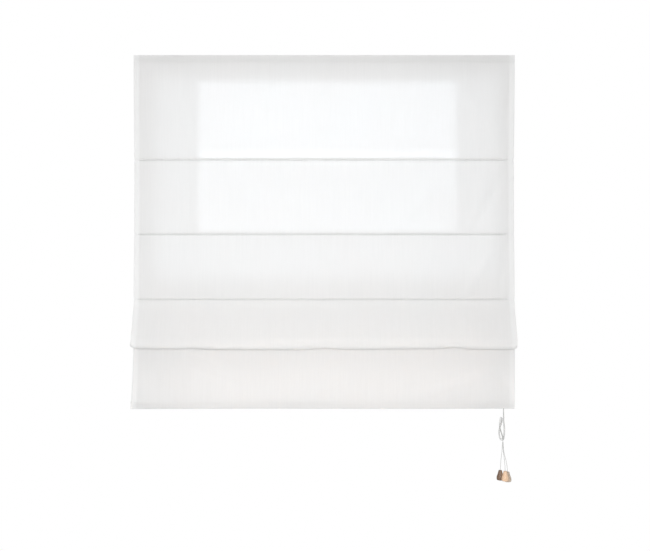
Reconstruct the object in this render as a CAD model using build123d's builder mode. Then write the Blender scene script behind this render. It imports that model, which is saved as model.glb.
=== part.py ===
from build123d import *
import os
from math import pi, radians, tan

# A roman blind for a window: one sheet of cloth hung by touch tape from an aluminium
# head rail, stiffened by four thin rods in sewn pockets and a flat bar in the hem.
# Three lift cords run from the lowest rod up through sewn rings, over cord guides in
# the rail and through a cord lock at its right end, and hang down as pull cords with
# wooden acorns. The blind is drawn part raised, with its fourth panel folded.
#
# Millimetres. X is to the right, Y is towards the wall, Z is up. The origin is on the
# wall, midway between the two screws of the middle bracket.

# ---- cloth ------------------------------------------------------------------------
blind_width = 1350.0
cloth_thickness = 1.0
seam_drops = (367.0, 631.0, 862.0)  # the upper three rod seams, below the cloth's top
rod_4_drop = 1007.0  # the fourth rod, raised from its hanging place
fold_corner_drop = 1048.0  # where the folded panel's two layers would meet unrounded
fold_forward = 52.0  # how far that corner stands in front of the cloth's plane
fold_radius = 6.0
fold_start = 24.0  # below the third seam, where the cloth begins to lean forward
fold_start_radius = 70.0
flap_drop = 1252.0  # the hem's lower edge
flap_forward = 12.0
flap_turn_radius = 2.5

# ---- rods, rings and hem bar ------------------------------------------------------
rod_diameter = 5.0
rod_chamfer = 0.5
rod_inset_left = 14.0
rod_inset_right = 25.0
pocket_clearance = 0.3
pocket_wall = 1.0
ring_radius = 5.0  # to the middle of the ring's wire
ring_wire = 2.0
ring_places = (-450.0, 0.0, 450.0)
bar_height = 20.0
bar_thickness = 3.0
bar_inset = 10.0
bar_corner = 1.2

# ---- head rail --------------------------------------------------------------------
rail_depth = 38.0
rail_height = 30.0
rail_wall = 1.4
rail_drop = 3.0  # the rail's top, below the cloth's top
rail_inset = 5.0
slot_width = 14.0
rail_corner = 1.4
tape_thickness = 1.2
tape_height = 22.0
tape_drop = 8.0
cap_thickness = 2.0
cap_plug = 8.0
cap_corner = 4.2
gap = 0.3  # between pieces that seat on each other

# ---- brackets ---------------------------------------------------------------------
bracket_places = {"left": -520.0, "middle": 0.0, "right": 520.0}
bracket_width = 40.0
bracket_sheet = 1.5
bracket_hook = 4.0
bracket_tongue = 6.0
bracket_tail = 28.0  # below the rail
screw_hole = 4.5
screw_spacing = 24.0
screw_rise = 12.0  # the screws, above the bracket's lower end
bracket_corner = 4.5  # rounding of the lower corners

# ---- cords, guides and cord lock ---------------------------------------------------
cord_diameter = 1.6
cord_pitch = 4.0  # between the three cords side by side in the rail
cord_below_ring = 6.0  # its end, below the lowest ring's middle
bend_at_ring = 60.0
bend_in_lane = 120.0
lane_change = (25.0, 85.0)  # where a cord moves to its lane, past its guide
longest_arc = 0.45  # share of the shorter run that a free cord's arc takes
guide_length = 24.0
guide_lead = 8.0  # the guide's left end, from its cord
guide_flange = 1.6
guide_flange_width = 20.0
guide_cheek = 1.4
guide_cheek_gap = 2.4
guide_peg_radius = 3.0
guide_hole = 4.4
peg_rise = 13.0  # the guide's peg, above the rail's lower face
lock_inset = 35.0  # the cords' way out, from the cloth's right edge
lock_half_length = 18.0
lock_width = 20.0
lock_top_wall = 2.0
lock_bar_radius = 4.2
lock_throat_half = 3.0
lock_neck_half = 8.0
lock_neck_below = 1.5
lock_corner = 1.4
lock_side_room = 0.9  # between the cords and the throat's sides
lock_end_room = 1.0  # past the housing's left end and the roller's travel
roller_radius = 4.0
roller_length = 10.6
trunnion_radius = 1.5
trunnion_length = 2.4
roller_travel = 4.0
roller_angle = 60.0  # the slot's slope above level
roller_below_bar = 3.8
roller_chamfer = 0.4

# ---- acorns and knots ---------------------------------------------------------------
acorn_top_radius = 6.8
acorn_radius = 13.0
acorn_height = 35.0
acorn_foot = 0.72  # the foot's radius, as a share of the widest one
acorn_belly = 7.0  # the widest place, above the foot
acorn_rim = 3.5  # height of the tapered rim round the top
acorn_rim_taper = 1.0
acorn_bore = 3.0
acorn_recess_radius = 5.0
acorn_recess_depth = 15.0
knot_radius = 2.8
knot_flat = 0.2  # cut off the knot's top, where the cord meets it

# The free cords' own points, chosen along each cord as it hangs. A pull cord falls
# straight from the lock to the hank, and its tail goes on from the hank to an acorn.
pull_cord_points = {
    "left": [(640.0, -24.8, 14.5), (639.2, -22.8, -1244.0)],
    "middle": [(640.0, -16.8, 14.5), (639.4, -18.8, -1244.0)],
    "right": [(640.0, -20.8, 14.5), (640.2, -20.8, -1244.0)],
}
tail_points = {
    "left": [
        (635.8, -19.4, -1345.0),
        (635.4, -19.2, -1356.0),
        (629.8, -14.0, -1410.0),
        (629.8, -14.0, -1448.8),
    ],
    "middle": [
        (637.8, -23.0, -1345.0),
        (638.0, -23.8, -1354.0),
        (641.0, -47.4, -1407.0),
        (641.0, -47.4, -1444.7),
    ],
    "right": [
        (639.8, -19.6, -1345.0),
        (640.2, -19.8, -1360.0),
        (654.2, -24.4, -1412.0),
        (654.2, -24.4, -1452.3),
    ],
}
hank_sections = (  # height, centre across, width across, depth
    (-1244.0, 634.8, 17.0, 9.0),
    (-1266.0, 633.8, 19.5, 14.0),
    (-1294.0, 634.4, 19.5, 13.0),
    (-1321.0, 637.6, 8.0, 8.0),
    (-1345.0, 637.8, 8.0, 8.0),
)
hank_depth_place = -20.8

# ---- places worked out from the sizes ------------------------------------------------
top = rail_drop + rail_height + bracket_tail - screw_rise
rail_top = top - rail_drop
rail_bottom = rail_top - rail_height
rail_half = blind_width / 2 - rail_inset
rail_back = -(bracket_sheet + gap)
rail_front = rail_back - rail_depth
slot_place = (rail_back + rail_front) / 2
cloth_place = rail_front - 2 * tape_thickness - cloth_thickness / 2
pocket_radius = rod_diameter / 2 + pocket_clearance + pocket_wall
rod_place = cloth_place + pocket_radius
ring_place = rod_place + pocket_radius + gap + ring_radius + ring_wire / 2
rod_heights = [top - drop for drop in seam_drops] + [top - rod_4_drop]
rod_left = -blind_width / 2 + rod_inset_left
rod_right = blind_width / 2 - rod_inset_right
cord_radius = cord_diameter / 2
lock_place = blind_width / 2 - lock_inset
peg_height = rail_bottom + peg_rise
cord_level = peg_height + guide_peg_radius + cord_radius
lip_top = rail_bottom + rail_wall
flap_place = cloth_place - flap_forward
hem_depth = bar_thickness + 2 * (pocket_clearance + pocket_wall)
hem_height = bar_height + 2 * pocket_clearance + 2 * pocket_wall
bar_place = flap_place - cloth_thickness / 2 + hem_depth / 2
bar_level = top - flap_drop + hem_height / 2

os.makedirs("parts", exist_ok=True)


def keep(part, name):
    """Label a finished piece and write its STEP file."""
    part.label = name
    export_step(part, f"parts/{name}.step")


def across(x):
    """The YZ plane at x, drawn with Y to its right and Z up, facing +X."""
    return Plane(origin=(x, 0, 0), x_dir=(0, 1, 0), z_dir=(1, 0, 0))


def box_between(low, high):
    """A box from its lowest to its highest corner, for the part that is open."""
    size = [b - a for a, b in zip(low, high)]
    with Locations([tuple((a + b) / 2 for a, b in zip(low, high))]):
        return Box(*size)


# ---- cloth: one sheet, with its rod pockets and its hem ------------------------------
with BuildPart() as cloth:
    with BuildSketch(across(-blind_width / 2)):
        with BuildLine():
            FilletPolyline(
                (cloth_place, top),
                (cloth_place, top - seam_drops[2] - fold_start),
                (cloth_place - fold_forward, top - fold_corner_drop),
                (cloth_place + flap_turn_radius, rod_heights[3] + flap_turn_radius),
                (flap_place, top - flap_drop + hem_height),
                (flap_place, top - flap_drop),
                radius=[fold_start_radius, fold_radius, flap_turn_radius, fold_start_radius],
            )
        trace(line_width=cloth_thickness)
        hem_low = top - flap_drop
        with Locations((bar_place, hem_low + hem_height / 2)):
            Rectangle(hem_depth, hem_height)
    extrude(amount=blind_width)
    with BuildSketch(across(rod_left)):
        with Locations([(rod_place, height) for height in rod_heights]):
            Circle(pocket_radius)
    extrude(amount=rod_right - rod_left)
    with BuildSketch(across(-blind_width / 2)):
        with Locations([(rod_place, height) for height in rod_heights]):
            Circle(rod_diameter / 2 + pocket_clearance)
        with Locations((bar_place, bar_level)):
            Rectangle(bar_thickness + 2 * pocket_clearance, bar_height + 2 * pocket_clearance)
    extrude(amount=blind_width, mode=Mode.SUBTRACT)
keep(cloth.part, "cloth")

# ---- four rods, and the three rings sewn to the back of each rod's pocket --------------
for number, height in enumerate(rod_heights, start=1):
    with BuildPart() as rod:
        with BuildSketch(across(rod_left)):
            with Locations((rod_place, height)):
                Circle(rod_diameter / 2)
        extrude(amount=rod_right - rod_left)
        chamfer(rod.edges().filter_by(GeomType.CIRCLE), rod_chamfer)
    keep(rod.part, f"rod_{number}")

    with BuildPart() as rings:
        with Locations([(x, ring_place, height) for x in ring_places]):
            Torus(ring_radius, ring_wire / 2)
    keep(rings.part, f"rings_{number}")

# ---- flat bar in the hem -----------------------------------------------------------------
with BuildPart() as bottom_bar:
    with BuildSketch(across(-blind_width / 2 + bar_inset)):
        with Locations((bar_place, bar_level)):
            RectangleRounded(bar_thickness, bar_height, bar_corner)
    extrude(amount=blind_width - 2 * bar_inset)
keep(bottom_bar.part, "bottom_bar")

# ---- head rail: a C profile, open below, drawn in aluminium --------------------------------
rail_middle = (rail_top + rail_bottom) / 2
with BuildPart() as head_rail:
    with BuildSketch(across(-rail_half)):
        with Locations((slot_place, rail_middle)):
            RectangleRounded(rail_depth, rail_height, rail_corner)
            Rectangle(
                rail_depth - 2 * rail_wall, rail_height - 2 * rail_wall, mode=Mode.SUBTRACT
            )
        with Locations((slot_place, rail_bottom)):
            Rectangle(slot_width, 4 * rail_wall, mode=Mode.SUBTRACT)
    extrude(amount=2 * rail_half)
keep(head_rail.part, "head_rail")

# ---- touch tape: hooks stuck on the rail, loops sewn behind the cloth's top ------------------
for name, front in (("hook_tape", rail_front), ("loop_tape", rail_front - tape_thickness)):
    with BuildPart() as tape:
        box_between(
            (-rail_half, front - tape_thickness, top - tape_drop - tape_height),
            (rail_half, front, top - tape_drop),
        )
        fillet(tape.edges().filter_by(Axis.Y), tape_thickness)
    keep(tape.part, name)

# ---- end caps: a plate over the rail's end and a plug inside it --------------------------------
plug_depth = rail_depth - 2 * rail_wall - 2 * gap
plug_height = rail_height - 2 * rail_wall - 2 * gap
for name, side in (("left", -1), ("right", 1)):
    with BuildPart() as end_cap:
        with BuildSketch(across(side * rail_half)):
            with Locations((slot_place, rail_middle)):
                RectangleRounded(rail_depth, rail_height, cap_corner)
        extrude(amount=side * cap_thickness)
        with BuildSketch(across(side * rail_half)):
            with Locations((slot_place, rail_middle)):
                Rectangle(plug_depth, plug_height)
                Rectangle(
                    plug_depth - 2 * cap_thickness,
                    plug_height - 2 * cap_thickness,
                    mode=Mode.SUBTRACT,
                )
        extrude(amount=-side * cap_plug)
    keep(end_cap.part, f"end_cap_{name}")

# ---- brackets: bent strips that hook over the rail's front and hold it from below ---------------
leg_top = rail_top + gap + bracket_sheet
leg_bottom = rail_bottom - bracket_tail
for name, place in bracket_places.items():
    left = place - bracket_width / 2
    right = place + bracket_width / 2
    hook_front = rail_front - gap - bracket_sheet
    with BuildPart() as bracket:
        box_between((left, -bracket_sheet, leg_bottom), (right, 0, leg_top))
        box_between((left, hook_front, rail_top + gap), (right, 0, leg_top))
        box_between(
            (left, hook_front, rail_top - bracket_hook), (right, rail_front - gap, leg_top)
        )
        tongue_top = rail_bottom - gap
        box_between(
            (left, -bracket_sheet - bracket_tongue, tongue_top - bracket_sheet),
            (right, 0, tongue_top),
        )
        fillet(
            bracket.edges().filter_by(Axis.Y).group_by(Axis.Z)[0], bracket_corner
        )
        screw_level = leg_bottom + screw_rise
        hole_plane = Plane(origin=(place, 0, screw_level), x_dir=(1, 0, 0), z_dir=(0, 1, 0))
        with Locations(hole_plane):
            with GridLocations(screw_spacing, 1, 2, 1):
                Hole(screw_hole / 2, depth=2 * bracket_sheet)
    keep(bracket.part, f"bracket_{name}")

# ---- cord guides: snapped into the rail's slot, each with a peg that turns its cord ---------------
cheek_top = peg_height + guide_peg_radius + 2 * cord_radius
neck_width = slot_width - 2 * gap
for name, place in zip(("left", "middle", "right"), ring_places):
    guide_ends = (place - guide_lead, place - guide_lead + guide_length)
    peg_place = place + guide_peg_radius + cord_radius
    half_flange = guide_flange_width / 2
    upper_low = lip_top + gap
    upper_high = upper_low + guide_flange
    lower_high = rail_bottom - gap
    lower_low = lower_high - guide_flange
    with BuildPart() as guide:
        for low, high, half in (
            (upper_low, upper_high, half_flange),
            (lower_low, lower_high, half_flange),
            (lower_low, upper_high, neck_width / 2),
        ):
            box_between(
                (guide_ends[0], slot_place - half, low), (guide_ends[1], slot_place + half, high)
            )
        for side in (-1, 1):
            inner = slot_place + side * guide_cheek_gap / 2
            outer = inner + side * guide_cheek
            box_between(
                (place - 2 * cord_radius, min(inner, outer), upper_low),
                (peg_place + guide_peg_radius + cord_radius, max(inner, outer), cheek_top),
            )
        with BuildSketch(Plane(origin=(peg_place, slot_place, peg_height), z_dir=(0, 1, 0))):
            Circle(guide_peg_radius)
        extrude(amount=guide_cheek_gap / 2 + guide_cheek / 2, both=True)
        with BuildSketch(Plane(origin=(place, slot_place, lower_low))):
            Circle(guide_hole / 2)
        extrude(amount=upper_high - lower_low, mode=Mode.SUBTRACT)
        mouth = guide.edges().filter_by(GeomType.CIRCLE).group_by(Axis.Z)[0]
        chamfer(mouth, guide_flange / 2)
    keep(guide.part, f"cord_guide_{name}")

# ---- cord lock: a housing with a fixed bar, and a loose knurled roller in sloping slots ------------
bar_x = lock_place - lock_bar_radius - cord_radius
bar_z = cord_level - lock_bar_radius - cord_radius
roller_x = lock_place + cord_radius + gap / 2 + roller_radius
roller_z = bar_z - roller_below_bar
throat_width = 2 * cord_pitch + cord_diameter + 2 * lock_side_room
with BuildPart() as lock_housing:
    box_between(
        (lock_place - lock_half_length, slot_place - lock_width / 2, lip_top + gap),
        (lock_place + lock_half_length, slot_place + lock_width / 2, rail_top - rail_wall - gap),
    )
    fillet(lock_housing.edges().filter_by(Axis.Y), lock_corner)
    box_between(
        (lock_place - lock_neck_half, slot_place - neck_width / 2, rail_bottom - lock_neck_below),
        (lock_place + lock_neck_half, slot_place + neck_width / 2, lip_top + 2 * gap),
    )
    with BuildSketch(Plane(origin=(0, slot_place, 0), x_dir=(1, 0, 0), z_dir=(0, -1, 0))):
        cavity_low = lip_top + gap + lock_top_wall
        cavity_high = rail_top - rail_wall - gap - lock_top_wall
        cavity_left = lock_place - lock_half_length - lock_end_room
        cavity_right = roller_x + roller_travel + roller_radius + lock_end_room
        with Locations(((cavity_left + cavity_right) / 2, (cavity_low + cavity_high) / 2)):
            Rectangle(cavity_right - cavity_left, cavity_high - cavity_low)
        with Locations((lock_place, rail_bottom)):
            Rectangle(2 * lock_throat_half, 2 * (cavity_low - rail_bottom) + 1)
    extrude(amount=throat_width / 2, both=True, mode=Mode.SUBTRACT)
    with BuildSketch(Plane(origin=(bar_x, slot_place, bar_z), z_dir=(0, 1, 0))):
        Circle(lock_bar_radius)
    extrude(amount=throat_width / 2 + gap, both=True)
    slot_plane = Plane(origin=(roller_x, slot_place, roller_z), x_dir=(1, 0, 0), z_dir=(0, -1, 0))
    with BuildSketch(slot_plane):
        with BuildLine():
            PolarLine((0, 0), roller_travel, roller_angle)
        trace(line_width=2 * (trunnion_radius + gap / 2))
        with Locations((0, 0)):
            Circle(trunnion_radius + gap / 2)
        with PolarLocations(roller_travel, 1, roller_angle):
            Circle(trunnion_radius + gap / 2)
    extrude(
        amount=roller_length / 2 + trunnion_length + gap, both=True, mode=Mode.SUBTRACT
    )
keep(lock_housing.part, "lock_housing")

roller_ends = Plane(origin=(roller_x, slot_place, roller_z), z_dir=(0, 1, 0))
with BuildPart() as lock_roller:
    with BuildSketch(roller_ends):
        Circle(roller_radius)
    extrude(amount=roller_length / 2, both=True)
    chamfer(lock_roller.edges().filter_by(GeomType.CIRCLE), roller_chamfer)
    with BuildSketch(roller_ends):
        Circle(trunnion_radius)
    extrude(amount=roller_length / 2 + trunnion_length, both=True)
keep(lock_roller.part, "lock_roller")


# ---- cords ---------------------------------------------------------------------------------------
def widest_radii(points):
    """For each corner of a hanging cord, the largest arc that its two runs allow."""
    radii = []
    for before, here, after in zip(points, points[1:], points[2:]):
        come = Vector(*here) - Vector(*before)
        go = Vector(*after) - Vector(*here)
        turn = come.get_angle(go)
        shorter = min(come.length, go.length)
        radii.append(longest_arc * shorter / tan(radians(turn / 2)))
    return radii


def cord_tube(points, radii, name):
    """A round cord along straight runs joined by tangent arcs."""
    with BuildPart() as cord:
        with BuildLine() as route:
            if radii:
                FilletPolyline(*points, radius=radii)
            else:
                Line(*points)
        path = route.wire()
        with BuildSketch(Plane(origin=path @ 0, z_dir=path % 0)):
            Circle(cord_radius)
        sweep(path=path)
    length = path.length
    share = cord.part.volume / (length * pi * cord_radius**2)
    shown = ", ".join(f"{r:.0f}" for r in radii)
    print(f"{name}: {length:.1f} long, radii [{shown}], volume {share:.4f} of section by length")
    keep(cord.part, name)


# Held lift cords: from the lowest ring up through the rings, over the guide's peg, along
# the rail, and over the lock's bar to where they leave it. Each has its own lane.
lanes = {"left": -cord_pitch, "middle": cord_pitch, "right": 0.0}
cord_end = rod_heights[3] - cord_below_ring
guide_mouth = rail_bottom - gap - guide_flange
exit_level = rail_bottom - lock_neck_below
for (name, lane), place in zip(lanes.items(), ring_places):
    lane_place = slot_place + lane
    route_points = [
        (place, ring_place, cord_end),
        (place, ring_place, rod_heights[0]),
        (place, slot_place, guide_mouth),
        (place, slot_place, cord_level),
        (place + lane_change[0], slot_place, cord_level),
        (place + lane_change[1], lane_place, cord_level),
        (lock_place, lane_place, cord_level),
        (lock_place, lane_place, exit_level),
    ]
    peg_turn = guide_peg_radius + cord_radius
    bar_turn = lock_bar_radius + cord_radius
    turns = [bend_at_ring, bend_at_ring, peg_turn, bend_in_lane, bend_in_lane, bar_turn]
    if lane == 0:
        del route_points[4:6]
        del turns[3:5]
    cord_tube(route_points, turns, f"lift_cord_{name}")

# Free pull cords, the tied hank, and the three tails below it.
for name, points in pull_cord_points.items():
    cord_tube(points, widest_radii(points), f"pull_cord_{name}")
for name, points in tail_points.items():
    cord_tube(points, widest_radii(points), f"tail_cord_{name}")

with BuildPart() as cord_hank:
    for height, centre, width, depth in hank_sections:
        with BuildSketch(Plane(origin=(centre, hank_depth_place, height))):
            Ellipse(width / 2, depth / 2)
    loft()
keep(cord_hank.part, "cord_hank")

# ---- acorns, each on its tail, and the knot that holds it ---------------------------------------------
for name, points in tail_points.items():
    end = points[-1]
    acorn_top = end[2] + gap + acorn_height - acorn_recess_depth
    acorn_bottom = acorn_top - acorn_height
    acorn_plane = Plane(origin=(end[0], end[1], acorn_bottom), x_dir=(1, 0, 0), z_dir=(0, -1, 0))
    shoulder = acorn_height - acorn_rim
    with BuildPart() as acorn:
        with BuildSketch(acorn_plane):
            with BuildLine():
                foot = Line((0, 0), (acorn_radius * acorn_foot, 0))
                Spline(
                    foot @ 1,
                    (acorn_radius, acorn_belly),
                    (acorn_top_radius, shoulder),
                    tangents=[(1, 0.25), (-0.2, 1)],
                )
                Polyline(
                    (acorn_top_radius, shoulder),
                    (acorn_top_radius - acorn_rim_taper, acorn_height),
                    (0, acorn_height),
                    (0, 0),
                )
            make_face()
        revolve(axis=Axis((end[0], end[1], 0), (0, 0, 1)))
        with BuildSketch(Plane(origin=(end[0], end[1], acorn_bottom))):
            Circle(acorn_recess_radius)
        extrude(amount=acorn_recess_depth, mode=Mode.SUBTRACT)
        with BuildSketch(Plane(origin=(end[0], end[1], acorn_bottom))):
            Circle(acorn_bore / 2)
        extrude(amount=acorn_height, mode=Mode.SUBTRACT)
    keep(acorn.part, f"acorn_{name}")

    knot_middle = (end[0], end[1], end[2] + knot_flat - knot_radius)
    with BuildPart() as knot:
        with Locations(knot_middle):
            Sphere(knot_radius)
        split(bisect_by=Plane(origin=end), keep=Keep.BOTTOM)
    keep(knot.part, f"knot_{name}")
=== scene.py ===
# %% [markdown]
# # A roman blind, part raised
# A roman blind is one wide sheet of cloth that hangs from a head rail and folds up in
# flat layers. Thin rods in sewn pockets keep each layer straight, and three cords run
# up through small rings behind the rods. The CAD model, the frame, already holds the
# sizes and the motion. This lesson dresses it: cloth, cords, stitches and finishes.
# Lengths are in metres, X runs to the right, Y towards the wall and Z up.

import math

import bmesh
import bpy
import numpy as np
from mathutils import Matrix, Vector


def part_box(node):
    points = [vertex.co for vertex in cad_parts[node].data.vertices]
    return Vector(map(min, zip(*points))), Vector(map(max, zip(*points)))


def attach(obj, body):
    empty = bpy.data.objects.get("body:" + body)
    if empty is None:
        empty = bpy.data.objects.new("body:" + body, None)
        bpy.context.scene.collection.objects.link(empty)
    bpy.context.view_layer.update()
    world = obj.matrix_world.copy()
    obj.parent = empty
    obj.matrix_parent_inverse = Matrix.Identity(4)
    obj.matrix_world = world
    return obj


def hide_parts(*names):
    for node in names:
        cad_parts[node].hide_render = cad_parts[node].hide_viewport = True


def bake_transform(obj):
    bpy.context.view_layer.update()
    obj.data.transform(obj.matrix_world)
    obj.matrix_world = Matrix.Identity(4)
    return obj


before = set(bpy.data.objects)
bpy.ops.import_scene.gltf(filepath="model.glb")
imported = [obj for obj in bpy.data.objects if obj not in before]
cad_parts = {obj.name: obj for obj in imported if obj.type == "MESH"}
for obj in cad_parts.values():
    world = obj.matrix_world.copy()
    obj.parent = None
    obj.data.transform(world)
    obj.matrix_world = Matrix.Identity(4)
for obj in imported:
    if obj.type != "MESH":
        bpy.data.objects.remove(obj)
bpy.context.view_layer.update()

# %% [markdown]
# ## Sizes read from the frame
# Every place below is worked out from the CAD boxes, so a blind of another size keeps
# its seams, hems and cords where they belong. Only what the boxes don't tell, such as
# the thickness of the cloth and how far the fold leans out, is a number here.

# %% Places of the rail, rods, rings and cords
CLOTH_THICK = 0.001
CORD_DIAMETER = 0.0016
ROD_COUNT = 4

cloth_low, cloth_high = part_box("cloth")
left_edge, right_edge = cloth_low.x, cloth_high.x
cloth_top, hem_bottom = cloth_high.z, cloth_low.z
plane_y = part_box("loop_tape")[0].y - CLOTH_THICK / 2
rods = {}
for number in range(1, ROD_COUNT + 1):
    low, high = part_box(f"rod_{number}")
    rods[number] = (low + high) / 2
rod_left, rod_right = (corner.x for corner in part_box("rod_1"))
ring_low, ring_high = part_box("rings_1")
ring_reach = (ring_high.y - ring_low.y) / 2
ring_y = (ring_low.y + ring_high.y) / 2
ring_places = (ring_low.x + ring_reach, 0.0, ring_high.x - ring_reach)
print("cloth", round(right_edge - left_edge, 3), "wide, rods at",
      [round(rods[n].z, 3) for n in rods])

# %% [markdown]
# ## Camera and light
# The blind is seen square on, from a little over three metres away. A long flat lamp in
# front lights it evenly and leaves one thin shadow line below the fold, a lamp above
# shapes the seams, and a faint warm one is aimed at the flap. Daylight also comes
# through the cloth from behind, as it does at a window: flat lamps stand just behind
# the cloth, and the cloth's own finish lets part of it through.

# %% Camera
VIEW_DISTANCE = 3.2
CAMERA_X, CAMERA_Z = 0.003, -0.732
LENS = 50


def add_object(name, data):
    """A new object in the scene that holds this data."""
    made = bpy.data.objects.new(name, data)
    bpy.context.scene.collection.objects.link(made)
    return made


camera_data = bpy.data.cameras.new("camera")
camera_data.lens = LENS
camera = add_object("camera", camera_data)
camera.location = (CAMERA_X, plane_y - VIEW_DISTANCE, CAMERA_Z)
camera.rotation_euler = (math.radians(90), 0, 0)
bpy.context.scene.camera = camera
print("camera", VIEW_DISTANCE, "m from the cloth")

# %% A helper for node trees
def node(tree, kind, inputs=None, **settings):
    """Add a node, set its options, and fill its inputs with values or links."""
    made = tree.nodes.new(kind)
    for key, value in settings.items():
        setattr(made, key, value)
    for key, value in (inputs or {}).items():
        if isinstance(value, bpy.types.NodeSocket):
            tree.links.new(value, made.inputs[key])
        else:
            made.inputs[key].default_value = value
    return made

# %% Surround
SURROUND_LIGHT = 0.43
world = bpy.data.worlds.new("surround")
world.use_nodes = True
bpy.context.scene.world = world
tree = world.node_tree
tree.nodes.clear()
light_path = node(tree, "ShaderNodeLightPath")
fill = node(tree, "ShaderNodeBackground", {"Color": (0.98, 0.99, 1.0, 1), "Strength": SURROUND_LIGHT})
white = node(tree, "ShaderNodeBackground", {"Color": (1, 1, 1, 1), "Strength": 1.0})
seen = node(tree, "ShaderNodeMixShader", {0: light_path.outputs["Is Camera Ray"]})
tree.links.new(fill.outputs[0], seen.inputs[1])
tree.links.new(white.outputs[0], seen.inputs[2])
node(tree, "ShaderNodeOutputWorld", {"Surface": seen.outputs[0]})
bpy.context.scene.view_settings.view_transform = "Standard"

# %% Lamps
def area_lamp(name, place, target, size, power, colour=(1, 1, 1), spread=180):
    """A rectangular lamp that faces its target."""
    data = bpy.data.lights.new(name, "AREA")
    data.shape = "RECTANGLE"
    data.size, data.size_y = size
    data.energy = power
    data.color = colour
    data.spread = math.radians(spread)
    lamp = add_object(name, data)
    lamp.location = place
    aim = Vector(target) - Vector(place)
    lamp.rotation_euler = aim.to_track_quat("-Z", "Y").to_euler()
    lamp.visible_camera = False


KEY_X, KEY_Z = -0.13, -0.70
middle = (0, plane_y, (cloth_top + hem_bottom) / 2)
flap_middle = (0.02, plane_y, hem_bottom + 0.12)
area_lamp("key", (KEY_X, -2.45, KEY_Z), (KEY_X, plane_y, KEY_Z), (2.0, 0.35), 43.5, (1.0, 0.998, 0.99))
area_lamp("top", (-0.3, -1.6, 2.3), middle, (3.0, 1.2), 24)
area_lamp("warm_fill", (0.4, -2.4, -0.95), flap_middle, (1.2, 0.2), 0.16, (1.0, 0.80, 0.67), 14)

BEHIND = -0.004
DAYLIGHT = (0.84, 0.92, 1.0)
PANE = (-0.445, 0.468)
PANE_TOP = cloth_top - 0.094
# Name, left and right edge, how far its top and bottom are below the pane's top, power, spread
back_lamps = (
    ("pane_high", *PANE, 0.0, 0.27, 0.58, 64),
    ("pane_middle", *PANE, 0.25, 0.53, 0.69, 64),
    ("pane_low", *PANE, 0.53, 0.70, 0.03, 100),
    ("room_behind", -0.60, 0.62, -0.02, 0.70, 1.46, 150),
)
for name, left, right, top_drop, bottom_drop, power, spread in back_lamps:
    place = ((left + right) / 2, BEHIND, PANE_TOP - (top_drop + bottom_drop) / 2)
    ahead = (place[0], -1, place[2])
    area_lamp(name, place, ahead, (right - left, bottom_drop - top_drop), power, DAYLIGHT, spread)
print("lamps:", len(bpy.data.lights), "of them behind the cloth:", len(back_lamps))

# %% Floor
FLOOR_Z = -1.9
FLOOR_CORNERS = [(-3, -4), (3, -4), (3, 0.4), (-3, 0.4)]
FLOOR_COLOUR = (0.9, 0.9, 0.9, 1)
floor_mesh = bpy.data.meshes.new("floor")
floor_mesh.from_pydata([(x, y, FLOOR_Z) for x, y in FLOOR_CORNERS], [], [(0, 1, 2, 3)])
floor = add_object("floor", floor_mesh)
floor_finish = bpy.data.materials.new("floor")
floor_finish.use_nodes = True
floor_finish.node_tree.nodes["Principled BSDF"].inputs["Base Color"].default_value = FLOOR_COLOUR
floor_mesh.materials.append(floor_finish)

# %% [markdown]
# ## Meshes from arrays
# Cloth and cords are both made of rings or rows of points that follow a line, so a few
# small helpers do most of the work. One turns points and faces into a piece with a
# map in metres, another wraps a round tube along a line, and a third gives the smooth
# line that a limp cord takes between its chosen points.

# %% Helpers for pieces and tubes
TUBE_UP = (0.0, 1.0, 0.05)
TUBE_DOME = 0.6
CURVE_STEPS = 8


def make_piece(name, points, faces, uv, material=None):
    """A smooth mesh piece with its own map, at the origin."""
    mesh = bpy.data.meshes.new(name)
    mesh.from_pydata(np.asarray(points).tolist(), [], faces)
    layer = mesh.uv_layers.new(name="UVMap")
    corner = np.zeros(len(mesh.loops), int)
    mesh.loops.foreach_get("vertex_index", corner)
    layer.data.foreach_set("uv", np.asarray(uv, float)[corner].ravel())
    mesh.shade_smooth()
    if material:
        mesh.materials.append(material)
    return add_object(name, mesh)


def grid_faces(rows, columns, start=0, closed=False):
    """Quads of a grid of points stored row by row; closed joins the last column to the first."""
    across = columns if closed else columns - 1
    faces = []
    for r in range(rows - 1):
        for c in range(across):
            after = (c + 1) % columns
            a, b = start + r * columns, start + (r + 1) * columns
            faces.append((a + c, a + after, b + after, b + c))
    return faces


def unit(vector):
    """The same direction, one long."""
    return vector / np.linalg.norm(vector)


def run_along(points):
    """How far along a line each of its points is."""
    return np.concatenate([[0], np.cumsum(np.linalg.norm(np.diff(points, axis=0), axis=1))])


def tube(line, radius, sides=10):
    """Points, faces and map of a round tube with domed ends along a line of points."""
    line = np.asarray(line, float)
    along = run_along(line)
    tangent = np.gradient(line, along, axis=0)
    tangent /= np.linalg.norm(tangent, axis=1)[:, None]
    ahead = np.zeros_like(line)
    ahead[0] = unit(np.cross(tangent[0], TUBE_UP))
    for i in range(1, len(line)):
        ahead[i] = unit(ahead[i - 1] - tangent[i] * (ahead[i - 1] @ tangent[i]))
    beside = np.cross(tangent, ahead)
    angle = np.arange(sides)[:, None] * 2 * math.pi / sides
    rings = line[:, None] + radius * (ahead[:, None] * np.cos(angle) + beside[:, None] * np.sin(angle))
    dome = TUBE_DOME * radius
    ends = [line[0] - tangent[0] * dome, line[-1] + tangent[-1] * dome]
    points = np.concatenate([rings.reshape(-1, 3), ends])
    faces = grid_faces(len(line), sides, closed=True)
    top, last = len(points) - 2, (len(line) - 1) * sides
    for c in range(sides):
        after = (c + 1) % sides
        faces.append((after, c, top))
        faces.append((last + c, last + after, top + 1))
    uv = [(c / sides, s) for s in along for c in range(sides)] + [(0, 0), (0, along[-1])]
    return points, faces, uv


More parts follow.
